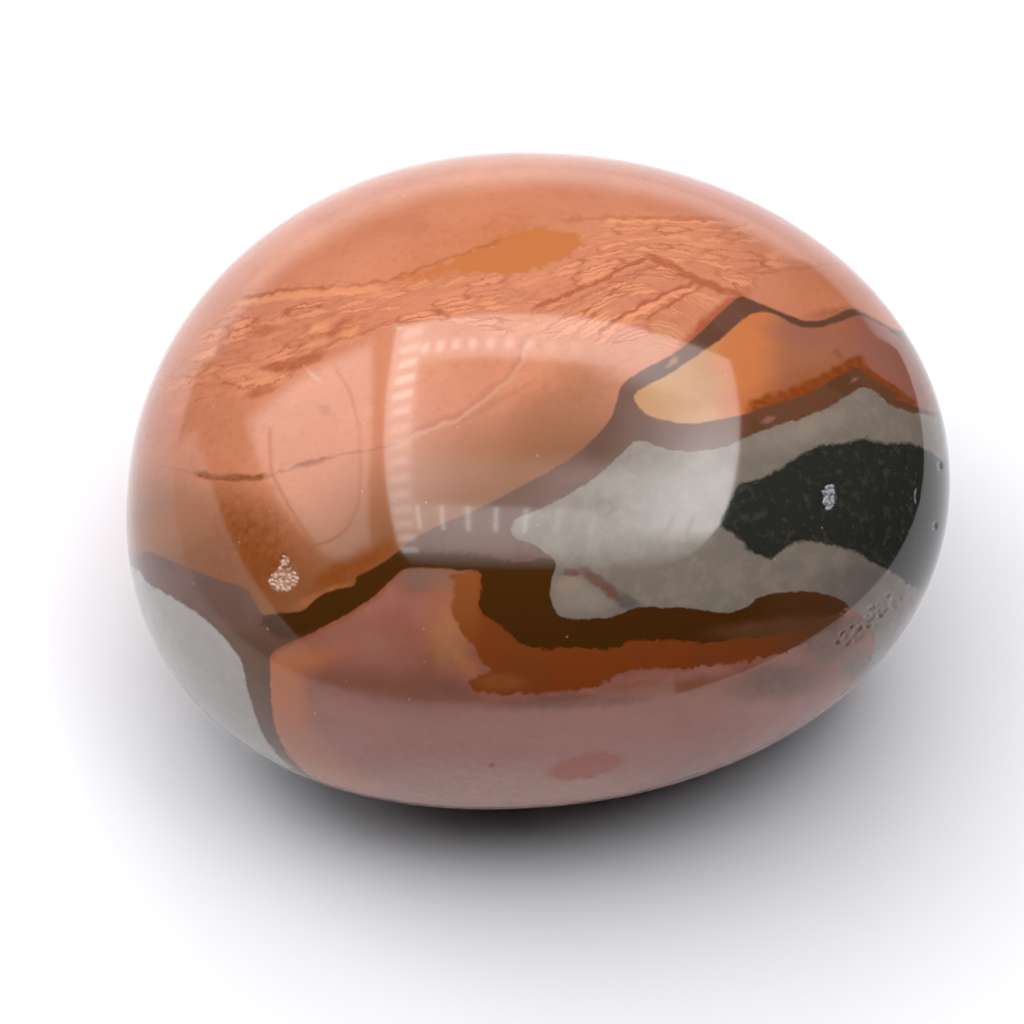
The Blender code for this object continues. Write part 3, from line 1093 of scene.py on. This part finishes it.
ARCH_HEIGHT = 0.136
ARCH_FOOT = 0.08  # how far the card goes down from the stone's middle, with its dark rim under the sheet
ARCH_GLOW = ((-0.42, -0.22, -0.05), (0.1, 1.0, 1.15))
ARCH_EDGE = 0.12
DARK_CARD_REACH = 0.13
DARK_CARD_HEIGHT = 0.03
DARK_CARD_ENDS = (math.radians(41), math.radians(-65))  # turns from the long axis, behind and in front
FILLS = (((-0.31, 0.09, 0.35), 0.17, 3.5), ((0, 0.45, 0.5), 0.15, 3.4), ((-0.05, 0.05, 0.4), 0.1, 2.6))
BACK_CARD_REACH = 0.2
BACK_CARD_ENDS = (-0.24, 0.112)
BACK_CARD_GLOW = ((0.004, 0.02, 0.036, 0.052), (1.5, 0.9, 0.25, 0.0))


def emission(name, colour, strength):
    """Plain glowing finish."""
    paint = Paint(name)
    glow = paint.add("ShaderNodeEmission", {"Color": (*colour, 1), "Strength": strength})
    paint.add("ShaderNodeOutputMaterial", {"Surface": glow.outputs[0]})
    return paint.material


def matte(name, colour):
    """Plain matte finish."""
    paint = Paint(name)
    shader = paint.add("ShaderNodeBsdfDiffuse", {"Color": (*colour, 1)})
    paint.add("ShaderNodeOutputMaterial", {"Surface": shader.outputs[0]})
    return paint.material


def stage_piece(name, corners, faces, material):
    """Piece of the studio from its corners and faces."""
    mesh = bpy.data.meshes.new(name)
    mesh.from_pydata(corners, [], faces)
    mesh.materials.append(material)
    piece = bpy.data.objects.new(name, mesh)
    bpy.context.scene.collection.objects.link(piece)
    return piece


def out_of_sight(piece):
    """The piece lights and reflects, but no view of the camera shows it."""
    piece.visible_camera = False


def glowing_piece(name, corners, faces, glows, power):
    """Piece out of sight whose brightness runs evenly from corner to corner."""
    paint = Paint(name)
    strength = paint.times(paint.stored("glow"), power)
    light = paint.add("ShaderNodeEmission", {"Strength": strength})
    paint.add("ShaderNodeOutputMaterial", {"Surface": light.outputs[0]})
    piece = stage_piece(name, corners, faces, paint.material)
    store(piece.data, "glow", np.array(glows))
    out_of_sight(piece)
    return piece


def upright_card(name, reach, outline, edge, glow, middle, power):
    """Upright card on the left, dark at its outline and bright from a share of it inwards."""
    outline = np.array(outline)
    inner = outline + (outline.mean(axis=0) - outline) * edge
    count = len(outline)
    corners = [(middle.x - reach, middle.y + y, middle.z + z) for y, z in np.concatenate((outline, inner))]
    faces = [(i, (i + 1) % count, (i + 1) % count + count, i + count) for i in range(count)]
    faces.append(tuple(range(count, 2 * count)))
    glows = np.concatenate((np.zeros(count), np.interp(inner[:, 0], *glow)))
    return glowing_piece(name, corners, faces, glows, power)


def lamp_point(middle, across, along, drop=0.0):
    """Point of the lamp's underside from its runs over the lamp's height."""
    height = LAMP_HEIGHT - drop
    return (middle.x + across * LAMP_HEIGHT, middle.y + along * LAMP_HEIGHT, middle.z + height)


def lamp_glow(across, skewed):
    """Brightness of the lamp: tubes on three sides round a middle that brightens to the right."""
    glow = np.interp(across, *MIDDLE_GLOW) * np.interp(skewed, *MIDDLE_FADE)
    glow += np.interp(across, *NEAR_GLOW) * np.interp(skewed, *NEAR_FADE)
    glow = np.maximum(glow, np.interp(across, *LEFT_TUBE))
    back = np.interp(skewed + BACK_BEND * np.maximum(across, 0), *BACK_TUBE)
    glow = np.maximum(glow, back * np.interp(across, *BACK_GLOW))
    glow *= np.interp(skewed, *DARK_EDGE)
    front = np.interp(skewed, *FRONT_TUBE) * np.interp(skewed, *FRONT_GLOW)
    return np.maximum(glow, front * np.interp(across, *FRONT_SPREAD))


def split_sheet(corners):
    """Flat sheet in runs over the lamp's height, cut wherever its brightness bends."""
    body = bmesh.new()
    body.faces.new([body.verts.new((across, along, 0)) for across, along in corners])
    across_cuts = {place for places, _ in ACROSS_GLOWS for place in places}
    along_cuts = {place for places, _ in ALONG_GLOWS for place in places}
    cuts = [((place, 0, 0), (1, 0, 0)) for place in sorted(across_cuts)]
    cuts += [((0, place, 0), (LAMP_SKEW, 1, 0)) for place in sorted(along_cuts)]
    for place, square in cuts:
        parts = body.verts[:] + body.edges[:] + body.faces[:]
        bmesh.ops.bisect_plane(body, geom=parts, plane_co=place, plane_no=square)
    body.verts.index_update()
    places = np.array([corner.co[:2] for corner in body.verts])
    faces = [tuple(corner.index for corner in face.verts) for face in body.faces]
    body.free()
    return places, faces


def square_lamp(middle, studio):
    """Square lamp level above the stone, with rows of small lights along three sides."""
    places, faces = split_sheet(LAMP_CORNERS)
    across, along = places.T
    corners = [lamp_point(middle, *place) for place in places]
    glows = lamp_glow(across, along + LAMP_SKEW * across)
    glowing_piece("square_lamp", corners, faces, glows, studio.lamp_power)
    rows = [(LEFT_ROW, y, *LEFT_DOT, np.interp(y, *LEFT_DOTS)) for y in np.arange(*LEFT_PLACES)]
    sides = ((BACK_ROW, BACK_PLACES, BACK_DOT, BACK_DOTS), (FRONT_ROW, FRONT_PLACES, FRONT_DOT, FRONT_DOTS))
    for row, row_places, dot, row_glow in sides:
        rows += [(x, row - LAMP_SKEW * x, *dot, np.interp(x, *row_glow)) for x in np.arange(*row_places)]
    corners, glows = [], []
    for across, along, half_x, half_y, glow in rows:
        for side_x, side_y in ((-1, -1), (1, -1), (1, 1), (-1, 1)):
            corners.append(lamp_point(middle, across + side_x * half_x, along + side_y * half_y, DOT_DROP))
            glows.append(glow)
    faces = [(i, i + 1, i + 2, i + 3) for i in range(0, len(corners), 4)]
    glowing_piece("lamp_dots", corners, faces, glows, studio.lamp_power)


def side_panel(middle, studio):
    """Upright glowing panel on the left, with thin dark seams in front of it."""
    power = studio.lamp_power
    upright_card("side_panel", PANEL_REACH, PANEL_OUTLINE, PANEL_EDGE, PANEL_GLOW, middle, power)
    corners, faces = [], []
    for seam in PANEL_SEAMS:
        line = np.array(seam)
        run = np.gradient(line, axis=0)
        aside = np.stack((-run[:, 1], run[:, 0]), axis=1) / np.linalg.norm(run, axis=1)[:, None]
        aside = aside * SEAM_HALF_WIDTH
        first = len(corners)
        for left, right in zip(line - aside, line + aside):
            corners += [(middle.x - SEAM_REACH, middle.y + y, middle.z + z) for y, z in (left, right)]
        faces += [(i, i + 1, i + 3, i + 2) for i in range(first, len(corners) - 2, 2)]
    out_of_sight(stage_piece("panel_seams", corners, faces, matte("dark seams", NEAR_BLACK)))


def white_cards(middle, studio):
    """Low arched card on the left and one behind that fades out upwards. Only the polish shows them."""
    turns = np.linspace(0, math.pi, ARCH_STEPS)
    across, up = ARCH_MIDDLE + ARCH_HALF_WIDTH * np.cos(turns), ARCH_HEIGHT * np.sin(turns)
    arch = [(across[0], -ARCH_FOOT), *zip(across, up), (across[-1], -ARCH_FOOT)]
    arched = upright_card("arched_card", ARCH_REACH, arch, ARCH_EDGE, ARCH_GLOW, middle, studio.lamp_power)
    corners, glows = [], []
    for rise, glow in zip(*BACK_CARD_GLOW):
        corners += [(x, BACK_CARD_REACH, middle.z + rise) for x in BACK_CARD_ENDS]
        glows += [glow, glow]
    corners = [(x, BACK_CARD_REACH, 0) for x in BACK_CARD_ENDS] + corners
    glows = [glows[0], glows[0]] + glows
    faces = [(i, i + 1, i + 3, i + 2) for i in range(0, len(corners) - 2, 2)]
    for card in (arched, glowing_piece("back_card", corners, faces, glows, studio.lamp_power)):
        card.visible_diffuse = False


def dark_card():
    """Low dark card round the right side, which the polish mirrors above the near part of the sheet."""
    corners = []
    for turn in np.linspace(*DARK_CARD_ENDS, DARK_CARD_STEPS):
        place = DARK_CARD_REACH * math.cos(turn), DARK_CARD_REACH * math.sin(turn)
        corners += [(*place, 0), (*place, DARK_CARD_HEIGHT)]
    faces = [(i, i + 1, i + 3, i + 2) for i in range(0, len(corners) - 2, 2)]
    card = stage_piece("dark_card", corners, faces, matte("dark card", NEAR_BLACK))
    out_of_sight(card)
    card.visible_diffuse = False
    card.visible_shadow = False


def soft_fills(middle, studio):
    """Soft lights on the left, behind and above, that the polish doesn't mirror."""
    for number, (place, half_width, glow) in enumerate(FILLS, 1):
        centre = Vector(place)
        toward = (centre - middle).normalized()
        right = toward.cross(Vector((0, 0, 1))).normalized() * half_width
        up = right.cross(toward).normalized() * half_width
        corners = [centre - right - up, centre + right - up, centre + right + up, centre - right + up]
        light = emission("soft fill", (1, 1, 1), glow * studio.lamp_power)
        piece = stage_piece(f"soft_fill_{number}", corners, [(0, 1, 2, 3)], light)
        out_of_sight(piece)
        piece.visible_glossy = False
        piece.visible_shadow = False


def pale_sheet(studio):
    """Pale sheet that the stone rests on."""
    reach = FLOOR_REACH
    corners = [(-reach, -reach, 0), (reach, -reach, 0), (reach, reach, 0), (-reach, reach, 0)]
    stage_piece("pale_sheet", corners, [(0, 1, 2, 3)], matte("pale sheet", studio.floor_colour))


def backdrop():
    """Pale wall all round, for the camera only."""
    steps = BACKDROP_STEPS
    ring = [(math.cos(2 * math.pi * i / steps), math.sin(2 * math.pi * i / steps)) for i in range(steps)]
    levels = (BACKDROP_LOW, BACKDROP_HIGH)
    corners = [(x * BACKDROP_REACH, y * BACKDROP_REACH, z) for z in levels for x, y in ring]
    faces = [(i, (i + 1) % steps, (i + 1) % steps + steps, i + steps) for i in range(steps)]
    wall = stage_piece("backdrop", corners, faces, emission("backdrop", BACKDROP_COLOUR, 1))
    wall.visible_diffuse = False
    wall.visible_glossy = False
    wall.visible_transmission = False
    wall.visible_shadow = False


def camera(view):
    """Camera at the front view."""
    data = bpy.data.cameras.new("front_camera")
    data.sensor_width = SENSOR_WIDTH
    data.lens = view.units / VIEW_WIDTH * data.sensor_width
    data.clip_start, data.clip_end = CLIP_RANGE
    piece = bpy.data.objects.new("front_camera", data)
    piece.location = view.place
    piece.rotation_euler = view.forward.to_track_quat("-Z", "Y").to_euler()
    bpy.context.scene.collection.objects.link(piece)
    bpy.context.scene.camera = piece


class JASPER_OT_set_studio(Operator):
    """Lays the pale sheet, hangs the lamps and sets the camera"""

    bl_idname = "jasper.set_studio"
    bl_label = "Set Studio"

    def execute(self, context):
        sizes, studio = context.scene.jasper_sizes, context.scene.jasper_studio
        middle = Pebble(sizes).middle
        camera(FrontView(middle, studio))
        pale_sheet(studio)
        backdrop()
        square_lamp(middle, studio)
        side_panel(middle, studio)
        white_cards(middle, studio)
        dark_card()
        soft_fills(middle, studio)
        world = bpy.data.worlds.new("dark room")
        world.use_nodes = True
        world.node_tree.nodes["Background"].inputs["Color"].default_value = (0, 0, 0, 1)
        context.scene.world = world
        context.scene.view_settings.view_transform = "Standard"
        return {"FINISHED"}


class JASPER_PT_panel(Panel):
    """Lists the jasper's settings and steps"""

    bl_idname = "JASPER_PT_panel"
    bl_label = "Polished Jasper"
    bl_space_type = "VIEW_3D"
    bl_region_type = "UI"
    bl_category = "Jasper"

    def draw(self, context):
        scene = context.scene
        for group in (scene.jasper_sizes, scene.jasper_colours, scene.jasper_studio):
            column = self.layout.column(align=True)
            for name in group.__annotations__:
                column.prop(group, name)
        for step in STEPS:
            self.layout.operator(step.bl_idname)


STEPS = (JASPER_OT_set_studio, JASPER_OT_shape_stone)
CLASSES = (StoneSizes, StoneColours, StudioSettings, *STEPS, JASPER_PT_panel)


def register():
    for item in CLASSES:
        bpy.utils.register_class(item)
    bpy.types.Scene.jasper_sizes = PointerProperty(type=StoneSizes)
    bpy.types.Scene.jasper_colours = PointerProperty(type=StoneColours)
    bpy.types.Scene.jasper_studio = PointerProperty(type=StudioSettings)


def unregister():
    del bpy.types.Scene.jasper_studio
    del bpy.types.Scene.jasper_colours
    del bpy.types.Scene.jasper_sizes
    for item in reversed(CLASSES):
        bpy.utils.unregister_class(item)


def main():
    register()
    bpy.ops.jasper.set_studio()
    bpy.ops.jasper.shape_stone()


if __name__ == "__main__":
    main()
